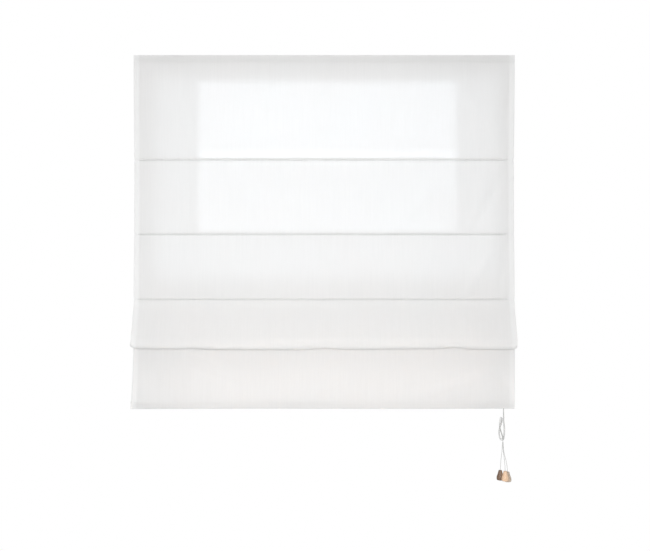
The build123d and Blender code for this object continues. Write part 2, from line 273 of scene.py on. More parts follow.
def join_parts(parts):
    """One list of points, faces and map from several."""
    points, faces, uv, offset = [], [], [], 0
    for p, f, u in parts:
        points.append(np.asarray(p))
        faces += [tuple(i + offset for i in face) for face in f]
        uv += list(u)
        offset += len(p)
    return np.concatenate(points), faces, uv


def smooth_line(control, name):
    """The points of a smooth spline that is steered by a cord's chosen points."""
    curve = bpy.data.curves.new(name, "CURVE")
    curve.dimensions = "3D"
    spline = curve.splines.new("NURBS")
    spline.points.add(len(control) - 1)
    for point, place in zip(spline.points, control):
        point.co = (*place, 1)
    spline.order_u = 3
    spline.use_endpoint_u = True
    spline.resolution_u = CURVE_STEPS
    holder = add_object(name, curve)
    shown = holder.evaluated_get(bpy.context.evaluated_depsgraph_get())
    mesh = bpy.data.meshes.new_from_object(shown)
    line = np.array([v.co for v in mesh.vertices])
    bpy.data.objects.remove(holder)
    bpy.data.meshes.remove(mesh)
    return line

# %% [markdown]
# ## Cord finish
# The cords are thin braided polyester. A braid is two sets of yarns that cross on a
# slant, so the finish crosses two sets of slanted bands on the tube's own map, where
# one direction runs round the cord and the other along it in metres.

# %% Braided cord finish
BRAID_SCALE, BRAID_SLANT = 1.26, 500


def blank_finish(name, **settings):
    """A new material: a Principled shader with these settings, and an output."""
    material = bpy.data.materials.new(name)
    material.use_nodes = True
    tree = material.node_tree
    tree.nodes.clear()
    values = {socket.replace("_", " "): value for socket, value in settings.items()}
    shader = node(tree, "ShaderNodeBsdfPrincipled", values)
    node(tree, "ShaderNodeOutputMaterial", {"Surface": shader.outputs[0]})
    return material, tree, shader


def maths(tree, operation, *values):
    """The result of one sum on links and numbers."""
    return node(tree, "ShaderNodeMath", dict(enumerate(values)), operation=operation).outputs[0]


def noise(tree, place, scale, detail, stretch=(1, 1, 1), **inputs):
    """The value of a noise at a place, which is stretched first."""
    stretched = node(tree, "ShaderNodeMapping", {"Vector": place, "Scale": stretch}).outputs[0]
    inputs.update({"Vector": stretched, "Scale": scale, "Detail": detail})
    return node(tree, "ShaderNodeTexNoise", inputs).outputs["Fac"]


def mixed_colour(tree, factor, first, second, blend="MIX"):
    """A mix of two colours by a factor. Each is three numbers or a link."""
    mix = node(tree, "ShaderNodeMix", {"Factor": factor}, data_type="RGBA", blend_type=blend)
    for socket, colour in (("A", first), ("B", second)):
        if isinstance(colour, bpy.types.NodeSocket):
            tree.links.new(colour, mix.inputs[socket])
        else:
            mix.inputs[socket].default_value = (*colour, 1)
    return mix.outputs["Result"]


def dress(tree, shader, colour, height, strength, distance):
    """Give a shader its colour, and a bump that follows a height."""
    tree.links.new(colour, shader.inputs["Base Color"])
    bump = node(tree, "ShaderNodeBump", {"Height": height, "Strength": strength, "Distance": distance})
    tree.links.new(bump.outputs[0], shader.inputs["Normal"])


def braided_finish(name, dark, light):
    """Two sets of slanted yarns that cross, on the tube's own map."""
    material, tree, shader = blank_finish(name, Roughness=0.62, Sheen_Weight=0.15)
    uv = node(tree, "ShaderNodeUVMap", uv_map="UVMap").outputs[0]
    yarns = []
    for slant in (BRAID_SLANT, -BRAID_SLANT):
        turned = node(tree, "ShaderNodeMapping", {"Vector": uv, "Scale": (1, slant, 1)})
        yarn = node(tree, "ShaderNodeTexWave", {"Vector": turned.outputs[0], "Scale": BRAID_SCALE},
                    bands_direction="DIAGONAL")
        yarns.append(yarn.outputs["Fac"])
    crossed = maths(tree, "MULTIPLY", *yarns)
    dress(tree, shader, mixed_colour(tree, crossed, dark, light), crossed, 0.5, 0.0001)
    return material


cord_finish = braided_finish("cord_braid", (0.44, 0.44, 0.43), (0.70, 0.70, 0.68))

# %% [markdown]
# ## The three pull cords
# A pull cord is the free end of a lift cord. It falls straight from the cord lock at
# the rail's right end, is tied up with the other two in one loose slip loop, and ends
# in a knot inside a wooden acorn. A smooth spline follows the same points as the CAD
# route, and the loop adds its own points, since no rule makes a hand-tied loop. Each
# cord is a mesh tube. Its straight part lengthens or shortens as the acorns are pulled.

# %% Points of the cords, and the tied loop
exit_x, exit_z = 0.640, 0.0145
slot_y = -0.0208
BELOW_LOCK = 0.03
ABOVE_LOOP = -1.204
EXIT_Y = {"left": -0.0248, "middle": -0.0168, "right": -0.0208}
LOOP_LANE = {"left": (0.0012, -0.0020), "middle": (0.0, 0.0020), "right": (-0.0012, 0.0)}
LOOP_SIZE = {"left": 1.0, "middle": 0.86, "right": 1.04}
TIE = (0.6345, -1.2935)
TAILS = {
    "left": [(0.6364, -0.0214, -1.330), (0.6358, -0.0194, -1.345), (0.6354, -0.0192, -1.356),
             (0.6298, -0.0140, -1.410), (0.6298, -0.0140, -1.4488)],
    "middle": [(0.6376, -0.0230, -1.330), (0.6378, -0.0230, -1.345), (0.6380, -0.0238, -1.354),
               (0.6410, -0.0474, -1.407), (0.6410, -0.0474, -1.4447)],
    "right": [(0.6390, -0.0214, -1.330), (0.6398, -0.0196, -1.345), (0.6402, -0.0198, -1.360),
              (0.6542, -0.0244, -1.412), (0.6542, -0.0244, -1.4523)],
}
# Across, depth and height of the loop: down on the right, round the bottom, up behind,
# over the top to the left, and down again in front.
LOOP = [
    (0.6404, -0.0206, -1.2450), (0.6422, -0.0202, -1.2620), (0.6436, -0.0195, -1.2780),
    (0.6436, -0.0187, -1.2940), (0.6424, -0.0180, -1.3080), (0.6413, -0.0176, -1.3150),
    (0.6396, -0.0172, -1.3180), (0.6370, -0.0167, -1.3196), (0.6339, -0.0161, -1.3197),
    (0.6312, -0.0156, -1.3182), (0.6294, -0.0152, -1.3155), (0.6277, -0.0149, -1.3105),
    (0.6252, -0.0147, -1.2985), (0.6254, -0.0147, -1.2850), (0.6290, -0.0150, -1.2720),
    (0.6336, -0.0157, -1.2600), (0.6355, -0.0168, -1.2500), (0.6356, -0.0179, -1.2430),
    (0.6335, -0.0202, -1.2396), (0.6303, -0.0234, -1.2396), (0.6280, -0.0257, -1.2430),
    (0.6264, -0.0266, -1.2500), (0.6251, -0.0271, -1.2620), (0.6257, -0.0272, -1.2750),
    (0.6291, -0.0271, -1.2870), (0.6341, -0.0266, -1.3000), (0.6369, -0.0250, -1.3130),
]


def pull_cord_points(side):
    """The chosen points of one pull cord, from the lock to its acorn."""
    aside, outwards = LOOP_LANE[side]
    points = [(exit_x, EXIT_Y[side], exit_z), (exit_x, EXIT_Y[side], exit_z - BELOW_LOCK)]
    points.append((exit_x, slot_y + outwards, ABOVE_LOOP))
    for x, y, z in LOOP:
        across, up = ((value - tie) * LOOP_SIZE[side] + tie for value, tie in zip((x, z), TIE))
        points.append((across + aside, y + outwards, up))
    return points + TAILS[side]

# %% Pull cords as tubes
pull_cords = {}
for side in TAILS:
    line = smooth_line(pull_cord_points(side), f"route_{side}")
    cord = make_piece(f"pull_cord_{side}_tube", *tube(line, CORD_DIAMETER / 2), cord_finish)
    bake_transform(cord)
    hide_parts(f"pull_cord_{side}", f"tail_cord_{side}", "cord_hank")
    pull_cords[side] = (cord, line)
    print(f"pull cord {side}: {run_along(line)[-1]:.3f} m, {len(line)} points")

# %% [markdown]
# ## Knots in the acorns
# A plain overhand knot keeps the cord from slipping out of its acorn. Pulled tight it
# is close to a trefoil, a closed line with a short formula, so a tube wound along that
# line makes the knot, and the cord's end runs into it.

# %% Overhand knots
KNOT_SIZE = 0.00072
KNOT_TURNS = 48
KNOT_DROP = 0.0012
t = np.linspace(0, 2 * math.pi, KNOT_TURNS + 1)
loops = np.stack([np.sin(t) + 2 * np.sin(2 * t), np.cos(t) - 2 * np.cos(2 * t), -1.5 * np.sin(3 * t)], 1)
for side, points in TAILS.items():
    place = np.array(points[-1]) - np.array([0, 0, KNOT_DROP])
    knot_tube = tube(place + KNOT_SIZE * loops, CORD_DIAMETER / 2, sides=8)
    knot = make_piece(f"knot_{side}_tied", *knot_tube, cord_finish)
    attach(knot, "pull")
    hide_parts(f"knot_{side}")
    cord, line = pull_cords[side]
print("knots tied:", len(TAILS))

# %% [markdown]
# ## The lift cords behind the cloth
# Each lift cord is tied to the lowest ring, runs up through the other rings, turns over
# its guide's peg in the rail and goes along to the lock. It is held all the way, so it
# isn't a free cord. As the blind goes up, each span between two rods gets shorter, so
# every span is its own piece.

# %% Lift cords, span by span
rail_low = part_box("head_rail")[0].z
CORD_LEVEL = 0.0328
RAIL_LEAD = 0.012
PEG_LEAD = 0.0075
LOCK_LEAD = 0.010
CHANGE_FROM, CHANGE_TO = 0.045, 0.085
LAST_RING_DROP = 0.006
LANES = {"left": -0.004, "middle": 0.004, "right": 0.0}


def rail_route(side, x):
    """The held cord from the first ring, over its peg and along the rail to the lock's way out."""
    lane_y = slot_y + LANES[side]
    up_to_rail = [(x, ring_y, rods[1].z), (x, slot_y, rail_low - RAIL_LEAD)]
    over_peg = [(x, slot_y, CORD_LEVEL - PEG_LEAD), (x, slot_y, CORD_LEVEL),
                (x + PEG_LEAD, slot_y, CORD_LEVEL)]
    change = [(x + CHANGE_FROM, (slot_y + lane_y) / 2, CORD_LEVEL), (x + CHANGE_TO, lane_y, CORD_LEVEL)]
    over_bar = [(exit_x - LOCK_LEAD, lane_y, CORD_LEVEL), (exit_x, lane_y, CORD_LEVEL)]
    down = [(exit_x, lane_y, CORD_LEVEL - LOCK_LEAD), (exit_x, lane_y, exit_z)]
    return smooth_line(up_to_rail + over_peg + change + over_bar + down, f"held_{side}")


def span_route(number, side, x):
    """The held cord between a rod's ring and the ring above it."""
    drop = LAST_RING_DROP if number == ROD_COUNT else 0.0
    top, bottom = rods[number - 1].z, rods[number].z - drop
    return smooth_line([(x, ring_y, z) for z in (top, (top + bottom) / 2, bottom)], f"span_{side}")


sides = list(LANES)
lift_nodes = [f"lift_cord_{side}" for side in sides]
for number in range(1, ROD_COUNT + 1):
    parts = []
    for side, x in zip(sides, ring_places):
        line = rail_route(side, x) if number == 1 else span_route(number, side, x)
        parts.append(tube(line, CORD_DIAMETER / 2, sides=8))
    span = make_piece(f"lift_cords_span_{number}", *join_parts(parts), cord_finish)
    upper_z = rail_low if number == 1 else rods[number - 1].z
    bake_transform(span)
    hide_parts(*lift_nodes)
print("lift cord spans:", ROD_COUNT)

# %% [markdown]
# ## Linen-look cloth
# The cloth is a plain weave with uneven yarns, which gives fine upright streaks. It is
# thin enough to glow with daylight behind it. The finish mixes a soft, rough surface
# with one that passes light, and its weave follows the cloth's own map in metres. Where
# a side hem doubles the cloth, it throws more light back and lets less of it through,
# so every strip also carries how much it is doubled.

# %% Cloth finish
YARN = 0.0007
CLOTH_SHADE = (0.835, 0.835, 0.83)
CLOTH_LIGHT = (0.885, 0.884, 0.879)
COOL_TINT, WARM_TINT = (0.994, 0.996, 1.0), (1.0, 0.992, 0.993)
STREAK_STRETCH, SLUB_STRETCH = (1, 0.035, 1), (0.06, 1, 1)
SLUB_SHARE = 0.35
DOUBLED_COLOUR = (0.89, 0.89, 0.888)
DOUBLED_BLOCKS = 0.22


def wave_scale(period):
    """The scale that gives a wave texture this period on a map in metres."""
    return 2 * math.pi / (20 * period)


def cloth_finish_for(name, through):
    """A streaky weave that lets light through, and less of it where the cloth is doubled."""
    material, tree, shader = blank_finish(name, Roughness=0.92, Specular_IOR_Level=0.15, Sheen_Weight=0.08)
    uv = node(tree, "ShaderNodeUVMap", uv_map="UVMap").outputs[0]
    yarns = []
    for direction in ("X", "Y"):
        yarn = node(tree, "ShaderNodeTexWave",
                    {"Vector": uv, "Scale": wave_scale(YARN), "Distortion": 1.2, "Detail Scale": 0.4},
                    bands_direction=direction)
        yarns.append(yarn.outputs["Fac"])
    woven = maths(tree, "ADD", *yarns)
    streak = noise(tree, uv, 190, 3, STREAK_STRETCH, Roughness=0.6)
    slub = noise(tree, uv, 900, 2, SLUB_STRETCH)
    tone = maths(tree, "ADD", streak, maths(tree, "MULTIPLY", slub, SLUB_SHARE))
    ground = mixed_colour(tree, tone, CLOTH_SHADE, CLOTH_LIGHT)
    tint = mixed_colour(tree, noise(tree, uv, 4.5, 2), COOL_TINT, WARM_TINT)
    colour = mixed_colour(tree, 1.0, ground, tint, "MULTIPLY")
    layers = node(tree, "ShaderNodeAttribute", attribute_name="doubled").outputs["Fac"]
    dress(tree, shader, mixed_colour(tree, layers, colour, DOUBLED_COLOUR), woven, 0.3, 0.0001)
    passing = node(tree, "ShaderNodeBsdfTranslucent", {"Color": colour})
    blocked = maths(tree, "MULTIPLY_ADD", layers, -DOUBLED_BLOCKS * through, through)
    mix = node(tree, "ShaderNodeMixShader", {0: blocked, 1: shader.outputs[0], 2: passing.outputs[0]})
    output = next(n for n in tree.nodes if n.type == "OUTPUT_MATERIAL")
    tree.links.new(mix.outputs[0], output.inputs["Surface"])
    return material


linen = cloth_finish_for("linen_cloth", 0.38)
lining = cloth_finish_for("linen_turnings", 0.12)

# %% [markdown]
# ## The shape of the cloth
# The sheet is modelled as five strips that meet at the rod seams: three flat panels, the
# folded one, and the hem flap. Each strip follows a section, drawn once as a line from
# top to bottom, with its bends as arcs. On that line sits what a sewn cloth shows up
# close: turned side hems, tucked seams, small puckers, soft creases and a slight waist.

# %% Rounded lines, and where rows of points go
ARC_POINTS = 12
LINE_STEP = 0.0005
NOISE_WAVES = 14
NOISE_PACES = (0.5, 1.2)
CREASE_END = 0.15


def rounded_line(corners, radii):
    """A line through corners (depth, height), rounded with arcs, as close even points."""
    corners = [np.array(c, float) for c in corners]
    points = [corners[0]]
    for before, here, after, radius in zip(corners, corners[1:], corners[2:], radii):
        back, on = unit(before - here), unit(after - here)
        half = math.acos(np.clip(back @ on, -1, 1)) / 2
        centre = here + unit(back + on) * radius / math.sin(half)
        first = (here + back * radius / math.tan(half) - centre) / radius
        side = (here + on * radius / math.tan(half) - centre) / radius
        side = unit(side - first * (first @ side))
        for turn in np.linspace(0, math.pi - 2 * half, ARC_POINTS):
            points.append(centre + radius * (first * math.cos(turn) + side * math.sin(turn)))
    points = np.array([*points, corners[-1]])
    along = run_along(points)
    even = np.linspace(0, along[-1], int(along[-1] / LINE_STEP) + 1)
    return np.stack([np.interp(even, along, points[:, i]) for i in (0, 1)], 1), even


def graded(length, first, growth, largest):
    """Places from 0 to length, close together near both ends and wider between."""
    half, step, place = [0.0], first, 0.0
    while place + step < length / 2:
        place += step
        half.append(place)
        step = min(step * growth, largest)
    half = np.array(half)
    return np.concatenate([half, (length - half)[::-1]])


def ease(value, low, high):
    """0 below low, 1 above high, and smooth between."""
    share = np.clip((value - low) / (high - low), 0, 1)
    return share * share * (3 - 2 * share)


def near(distance, width):
    """1 at a distance of 0, and less on both sides of it, over this width."""
    return np.exp(-(distance / width) ** 2)


def fade(distance, width):
    """1 at an edge, and less with the distance from it."""
    return np.exp(-distance / width)


def soft_noise(a, b, size_a, size_b, seed):
    """A smooth random field, about -1 to 1, with features of the given sizes."""
    draws = np.random.default_rng(seed)
    total = np.zeros(np.broadcast(a, b).shape)
    for _ in range(NOISE_WAVES):
        turn, phase = draws.uniform(0, 2 * math.pi, 2)
        pace = draws.uniform(*NOISE_PACES) * math.pi
        total = total + np.cos(pace * (a / size_a * math.cos(turn) + b / size_b * math.sin(turn)) + phase)
    return total / math.sqrt(NOISE_WAVES)


def crease(x, z, start, end, height, width):
    """A soft ridge along a line from start to end, each (across, up)."""
    start, end = np.array(start), np.array(end)
    run = end - start
    share = np.clip(((x - start[0]) * run[0] + (z - start[1]) * run[1]) / (run @ run), 0, 1)
    away = np.hypot(x - start[0] - share * run[0], z - start[1] - share * run[1])
    ends = np.sin(math.pi * (CREASE_END + (1 - 2 * CREASE_END) * share))
    return height * ends * near(away, width)

# %% Section of the whole cloth
FOLD_BEGINS = 0.024
FOLD_EASE = 0.07
FOLD_BULGE = (plane_y - 0.0508, cloth_top - 1.0110)
BULGE_RADIUS = 0.05
FOLD_BELLY = (plane_y - 0.0478, cloth_top - 1.0320)
BELLY_RADIUS = 0.016
FOLD_LOW = (plane_y - 0.0363, cloth_top - 1.0396)
LOW_RADIUS = 0.0075
FLAP_Y = plane_y - 0.012
HEM_SLACK = 0.0026
HEM_TURN = 0.0023
TURN_RADIUS = HEM_TURN * 0.98
CATCH_RADIUS = 0.002
SEAM_BELOW_ROD = 0.0045
bar_low, bar_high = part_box("bottom_bar")
hem_height = bar_high.z - bar_low.z + HEM_SLACK
seam_z = {n: rods[n].z - SEAM_BELOW_ROD for n in rods}
fold_seam = (rods[4].y - 0.0030, rods[4].z + 0.0032)
sections = {}
upper_z = cloth_top
for number in (1, 2, 3):
    sections[f"panel_{number}"] = rounded_line([(plane_y, upper_z), (plane_y, seam_z[number])], [])
    upper_z = seam_z[number]
sections["panel_4"] = rounded_line(
    [(plane_y, upper_z), (plane_y, upper_z - FOLD_BEGINS), FOLD_BULGE, FOLD_BELLY, FOLD_LOW, fold_seam],
    [FOLD_EASE, BULGE_RADIUS, BELLY_RADIUS, LOW_RADIUS])
hem_z, back_y = hem_bottom + CLOTH_THICK / 2, FLAP_Y + 2 * HEM_TURN
hem_top, caught_y = hem_bottom + hem_height, FLAP_Y + 1.1 * CLOTH_THICK
sections["flap"] = rounded_line(
    [fold_seam, (FLAP_Y, hem_top), (FLAP_Y, hem_z), (back_y, hem_z), (back_y, hem_top - 0.004),
     (caught_y, hem_top + 0.003)],
    [FOLD_EASE, TURN_RADIUS, TURN_RADIUS, CATCH_RADIUS])
for name, (line, along) in sections.items():
    print(f"{name}: {along[-1] * 1000:.1f} mm of cloth from top to bottom")

# %% [markdown]
# At a seam the cloth is stitched to the rod's pocket behind it and sinks into a narrow
# groove, which looks like a soft dark line less than a centimetre high. The pockets stop
# short of the side edges, and so do the grooves. Where they stop, the side edge is drawn
# in a little.

# %% What the sewing does to the cloth
SIDE_HEM = 0.018
HEM_STEP = 0.0003
HEM_SLOPE = 0.0012
SIDE_STITCHES = 0.016
STITCH_DENT = 0.00035
DENT_WIDTH, HEM_DENT_WIDTH = 0.0011, 0.0014
SEAM_DIP = 0.0034
SEAM_WIDTH = 0.0031
SEAM_PUFF = 0.0009
PUFF_WIDTH = 0.024
GROOVE_OUT, GROOVE_IN = 0.004, 0.006
PINCH, PINCH_HEIGHT = 0.0016, 0.009
PINCH_LEFT, PINCH_RIGHT = 0.020, 0.028
WAIST, WAIST_DROP = 0.0042, 0.93
TOP_HEM = 0.026
TOP_STITCHES = 0.0245
SIDE_BAND, BAND_COLUMNS = 0.030, 26
FINE_COLUMN, COLUMN_GROWTH, WIDE_COLUMN = 0.0013, 1.15, 0.008
band = np.linspace(0, SIDE_BAND, BAND_COLUMNS)
between = graded(right_edge - left_edge - 2 * SIDE_BAND, FINE_COLUMN, COLUMN_GROWTH, WIDE_COLUMN)
across = np.concatenate([left_edge + band[:-1], left_edge + SIDE_BAND + between, right_edge - band[::-1][1:]])


def from_edge(x):
    """How far a place is from the nearer side edge."""
    return np.minimum(x - left_edge, right_edge - x)


def dent(distance, width=DENT_WIDTH):
    """How far a row of stitches pulls the cloth in, by the distance from the row."""
    return STITCH_DENT * near(distance, width)


def seam_reach(x):
    """1 along the pocket, and 0 where it stops short of the side edges."""
    return ease(np.minimum(x - rod_left, rod_right - x), -GROOVE_OUT, GROOVE_IN)


def seam_groove(x, away):
    """How far the cloth stands out near a seam, at a distance along the cloth from it."""
    groove = near(away, SEAM_WIDTH)
    return seam_reach(x) * (SEAM_PUFF * (1 - groove) * near(away, PUFF_WIDTH) - SEAM_DIP * groove)


def edge_pinch(x, from_seam):
    """How far the side edges are drawn in near a seam."""
    inwards = fade(x - left_edge, PINCH_LEFT) - fade(right_edge - x, PINCH_RIGHT)
    return PINCH * near(from_seam, PINCH_HEIGHT) * inwards


def waist(x, z):
    """The blind's slight waist between its top and the fold."""
    depth = np.clip((cloth_top - z) / WAIST_DROP, 0, 1)
    return -WAIST * x * np.sin(math.pi * depth) ** 2


print("columns of points across the cloth:", len(across))

# %% Fold and hem that hang a little unevenly
CORD_LIFTS = (0.0028, 0.0042, 0.0052)
LIFT_WIDTH = 0.045
EDGE_WAVE, EDGE_WAVE_SIZE = 0.0012, 0.17
# How far each corner is lifted, and how far in from the side that reaches
LEFT_LIFT, RIGHT_LIFT = (0.011, 0.010), (0.006, 0.008)
FOLD_SAG = 0.002
# How far each corner drifts, how late down the strip, and how far in that reaches
LEFT_DRIFT, RIGHT_DRIFT = (-0.0085, 1.6, 0.22), (-0.0028, 2, 0.15)


def fold_lift(x):
    """The fold's lower edge is lifted where the cords pull, and at its corners."""
    lifted = 0.0
    for place, height in zip(ring_places, CORD_LIFTS):
        lifted = lifted + height * near(x - place, LIFT_WIDTH)
    lifted = lifted + EDGE_WAVE * soft_noise(x, 0 * x, EDGE_WAVE_SIZE, 1, seed=21)
    for away, (height, reach) in ((x - left_edge, LEFT_LIFT), (right_edge - x, RIGHT_LIFT)):
        lifted = lifted + height * fade(away, reach)
    return lifted - FOLD_SAG


def corner_drift(x, share):
    """The lower left corner spreads outwards, and the right one draws in a little."""
    corners = (x - left_edge, LEFT_DRIFT), (right_edge - x, RIGHT_DRIFT)
    return sum(drift * share ** power * fade(away, reach) for away, (drift, power, reach) in corners)


# Where each crease starts and ends (across, up), how far it stands out, and its width
CREASES = {
    "panel_1": [((0.49, -0.06), (0.60, -0.22), 0.0016, 0.020),
                ((-0.60, -0.10), (-0.50, -0.27), 0.0011, 0.022),
                ((0.655, -0.06), (0.640, -0.27), -0.0020, 0.016)],
    "panel_2": [((0.43, -0.365), (0.25, -0.572), 0.0048, 0.026),
                ((0.645, -0.36), (0.54, -0.56), -0.0036, 0.020)],
    "panel_3": [((0.600, -0.640), (0.510, -0.785), 0.0040, 0.018),
                ((0.655, -0.60), (0.620, -0.76), -0.0030, 0.018)],
    "panel_4": [((-0.56, -0.86), (-0.45, -0.95), 0.0014, 0.018),
                ((0.45, -0.84), (0.54, -0.93), 0.0020, 0.018)],
    "flap": [((0.382, -1.145), (0.525, -1.092), 0.0040, 0.016),
             ((-0.50, -1.012), (-0.31, -1.09), 0.0034, 0.018),
             ((0.60, -1.04), (0.665, -1.16), -0.0026, 0.020),
             ((-0.655, -1.04), (-0.640, -1.15), 0.0018, 0.014)],
}
SEEDS = {"panel_1": 3, "panel_2": 5, "panel_3": 7, "panel_4": 11, "flap": 13}
print("creases:", sum(len(creases) for creases in CREASES.values()))

# %% [markdown]
# One function gives any place on the cloth: it follows the section and adds what the
# sewing and the hanging do. The thickness is added along the section's own normal, so
# the fold stays as thick as the flat parts. The strips are laid with it, and later the
# stitches find their places with it too.

# %% Any place on the cloth
PANEL_SWELL, PANEL_WAVES = 0.0007, (0.30, 0.20)
PUCKER, PUCKER_SIZE, PUCKER_REACH = 0.00022, (0.013, 0.05), 0.016
FOLD_REACH = 0.028
FOLD_DRIFT = 0.62
FOLD_SWELL, FOLD_WAVES = 0.0016, (0.22, 0.3)
FLAP_SWELL, FLAP_WAVES = 0.0015, (0.35, 0.25)
HEM_WAVE, HEM_WAVE_SIZE = 0.0007, 0.4
RIM_SHARE, RIM_WIDTH = 0.45, 0.8 * CLOTH_THICK


def on_section(name, s):
    """Depth and height of a strip's section, at a distance along it."""
    line, along = sections[name]
    return np.array([np.interp(s, along, line[:, i]) for i in (0, 1)])


def cloth_moves(name, x, s, z):
    """What moves the cloth of one strip: across, outwards and up."""
    length = sections[name][1][-1]
    out = PANEL_SWELL * soft_noise(x, s, *PANEL_WAVES, seed=SEEDS[name]) * np.sin(math.pi * s / length)
    for start, end, height, width in CREASES[name]:
        out = out + crease(x, z, start, end, height, width)
    side = waist(x, z)
    up = np.zeros_like(x)
    for gap, plain in ((s, ("panel_1", "flap")), (length - s, ("panel_4", "flap"))):
        if name not in plain:
            pucker = soft_noise(x, gap, *PUCKER_SIZE, seed=SEEDS[name] + 50) * fade(gap, PUCKER_REACH)
            out = out + seam_groove(x, gap) + PUCKER * pucker * ease(gap, 0, 0.004)
            side = side + edge_pinch(x, gap)
    if name == "panel_4":
        at_fold = near(s - fold_place, FOLD_REACH)
        up = up + fold_lift(x) * at_fold
        side = side + corner_drift(x, FOLD_DRIFT * at_fold)
        out = out + FOLD_SWELL * at_fold * soft_noise(x, s, *FOLD_WAVES, seed=31)
    if name == "flap":
        share = np.clip(s / flap_drop, 0, 1)
        side = side + corner_drift(x, share)
        out = out + FLAP_SWELL * np.sin(math.pi * share) * soft_noise(x, s, *FLAP_WAVES, seed=37)
        up = up + HEM_WAVE * share * soft_noise(x, 0 * x, HEM_WAVE_SIZE, 1, seed=41)
    return side, out, up


def doubled_share(x):
    """1 where a side hem doubles the cloth, and 0 elsewhere."""
    return 1 - ease(from_edge(x), SIDE_HEM, SIDE_HEM + HEM_SLOPE)


def sewn_relief(name, x, s, face):
    """The turned hems stand proud and their stitches dent them, on either face."""
    step = HEM_STEP * (1 if face > 0 else 2)
    raised = step * doubled_share(x) - dent(from_edge(x) - SIDE_STITCHES)
    if name == "panel_1":
        raised = np.maximum(raised, step * (1 - ease(s, TOP_HEM, TOP_HEM + HEM_SLOPE)))
        raised = raised - dent(s - TOP_STITCHES) * (from_edge(x) > SIDE_HEM)
    if name == "flap" and face > 0:
        raised = raised - dent(s - hem_row, HEM_DENT_WIDTH)
    return raised


def cloth_place(name, x, s, face):
    """Places on a strip's front (1) or back (-1), by the distance across and along it."""
    line, along = sections[name]
    y0, z0 = on_section(name, s)
    ahead_y, ahead_z = (np.interp(s, along, np.gradient(line[:, i], along)) for i in (0, 1))
    size = np.hypot(ahead_y, ahead_z)
    move_x, move_out, move_z = cloth_moves(name, x, s, z0)
    rim = RIM_SHARE + (1 - RIM_SHARE) * np.sqrt(np.clip(from_edge(x) / RIM_WIDTH, 0, 1))
    out = move_out + face * (CLOTH_THICK / 2 * rim + sewn_relief(name, x, s, face))
    return np.stack([x + move_x, y0 + ahead_z / size * out, z0 - ahead_y / size * out + move_z], -1)


def lay_strip(name, rows, map_start, material):
    """A closed strip of cloth, from its front and back places."""
    x, s = np.meshgrid(across, rows)
    front, back = (cloth_place(name, x, s, face).reshape(-1, 3) for face in (1, -1))
    n_rows, n_columns = x.shape
    count = n_rows * n_columns
    faces = [f[::-1] for f in grid_faces(n_rows, n_columns)]
    faces += grid_faces(n_rows, n_columns, start=count)
    top, bottom = range(n_columns), range((n_rows - 1) * n_columns, count)
    left, right = range(0, count, n_columns), range(n_columns - 1, count, n_columns)
    for border, flip in ((top, False), (right, False), (bottom, True), (left, True)):
        for a, b in zip(border, border[1:]):
            quad = (a, b, b + count, a + count)
            faces.append(quad[::-1] if flip else quad)
    uv = np.stack([x - left_edge, -(s + map_start)], -1).reshape(-1, 2)
    points = np.concatenate([front, back])
    piece = make_piece(f"cloth_{name}", points, faces, np.concatenate([uv, uv]), material)
    share = doubled_share(x).ravel()
    layer = piece.data.attributes.new("doubled", "FLOAT", "POINT")
    layer.data.foreach_set("value", np.concatenate([share, share]))
    return piece


fold_line, fold_along = sections["panel_4"]
fold_place = fold_along[np.argmin(fold_line[:, 1])]
flap_line, flap_along = sections["flap"]
flap_drop = flap_along[np.argmin(flap_line[:, 1])]
hem_row = flap_along[np.argmin(np.abs(flap_line[:, 1] - hem_bottom - hem_height)
                               + (flap_along > flap_drop))]
print("fold", round(fold_place, 3), "m down panel 4, hem", round(flap_drop, 3), "m down the flap")

# %% [markdown]
# ## How the cloth follows the rods
# When the blind goes up, each panel folds in half and hangs from the rods at its two
# ends. So the upper half of a panel stays with the rod above, and the lower half turns
# over to the rod below. The fourth panel is already folded. Here the panels stay where
# they are laid, and of the strips only the flap rides on the fourth rod.


upper_body, upper_z = "root", cloth_top
for number in (1, 2, 3):
    body, lower_z = f"rod_{number}", seam_z[number]
    upper_body, upper_z = body, lower_z


def carry(piece, name):
    """Keep a piece where it was laid, or let it ride on the lowest rod with the flap."""
    if name == "flap":
        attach(piece, "rod_4")
    else:
        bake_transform(piece)


# %% The five strips
FINE_ROW, ROW_GROWTH, WIDE_ROW = 0.0006, 1.22, 0.008
CLOSEST_ROWS = 0.0002
# Extra rows of points: the place, how far they start and end from it, and how many
CLOSE_ROWS = {
    "panel_1": [(TOP_HEM, -0.006, 0.003, 10)],
    "panel_4": [(fold_place, -0.018, 0.018, 25)],
    "flap": [(hem_row, -0.004, 0.004, 9), (flap_drop, -0.006, 0.006, 17)],
}
map_start = 0.0
for name, (line, along) in sections.items():
    rows = graded(along[-1], FINE_ROW, ROW_GROWTH, WIDE_ROW)
    for place, before, after, count in CLOSE_ROWS.get(name, []):
        rows = np.union1d(rows, place + np.linspace(before, after, count))
    keep = np.concatenate([[True], np.diff(rows) > CLOSEST_ROWS])
    piece = lay_strip(name, rows[keep], map_start, linen)
    carry(piece, name)
    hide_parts("cloth")
    map_start += along[-1]
    print(f"{piece.name}: {len(piece.data.polygons)} faces")

# %% [markdown]
# ## Rod pockets
# Each rod lies in its own pocket, a strip of the same cloth folded round the rod and
# caught in the seam. Seen from its end it is a drop with its point at the seam, so the
# pocket is that outline carried along the rod, a little loose here and there.

